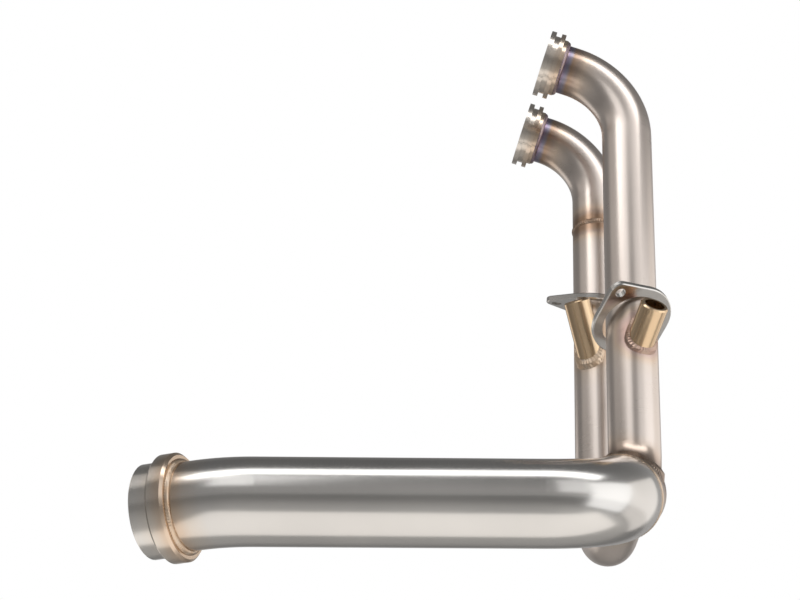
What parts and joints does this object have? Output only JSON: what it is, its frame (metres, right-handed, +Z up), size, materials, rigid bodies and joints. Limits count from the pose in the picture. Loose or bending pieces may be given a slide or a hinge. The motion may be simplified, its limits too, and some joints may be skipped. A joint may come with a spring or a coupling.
{
  "type": "motorcycle exhaust header",
  "caption": "Stainless two-into-one exhaust header for a parallel-twin motorcycle, with port spigots, loose sliding flanges, sensor bungs, a collector and an outlet socket.",
  "frame": {"origin": "centre of the right port spigot's mouth", "axes": "+X forward on the motorcycle, +Y to the rider's left, +Z up"},
  "size_m": [0.4315, 0.2676, 0.5236],
  "materials": {
    "tube": "brushed",
    "turned": "satin",
    "bung": "satin, straw heat tint",
    "flange": "satin",
    "weld": "heat-tinted bead"
  },
  "bodies": {
    "header": {"right_port_spigot": "turned", "left_port_spigot": "turned", "right_head_pipe": "tube", "left_head_bend": "tube", "left_down_tube": "tube", "left_lower_bend": "tube", "collector_body": "tube", "main_pipe": "tube", "outlet_fitting": "turned", "right_sensor_bung": "bung", "left_sensor_bung": "bung", "right_spigot_weld": "weld", "left_spigot_weld": "weld", "left_upper_weld": "weld", "left_lower_weld": "weld", "right_merge_weld": "weld", "left_merge_weld": "weld", "elbow_weld": "weld", "outlet_weld": "weld", "right_sensor_weld": "weld", "left_sensor_weld": "weld"},
    "right_flange": {"right_port_flange": "flange"},
    "left_flange": {"left_port_flange": "flange"}
  },
  "joints": [
    {"name": "right_flange_slide", "type": "slide", "parent": "header", "child": "right_flange", "axis": [0.014, 0, 0.9999], "range_m": [0, 0.14]},
    {"name": "left_flange_slide", "type": "slide", "parent": "header", "child": "left_flange", "axis": [0.014, 0, 0.9999], "range_m": [0, 0.09]}
  ]
}
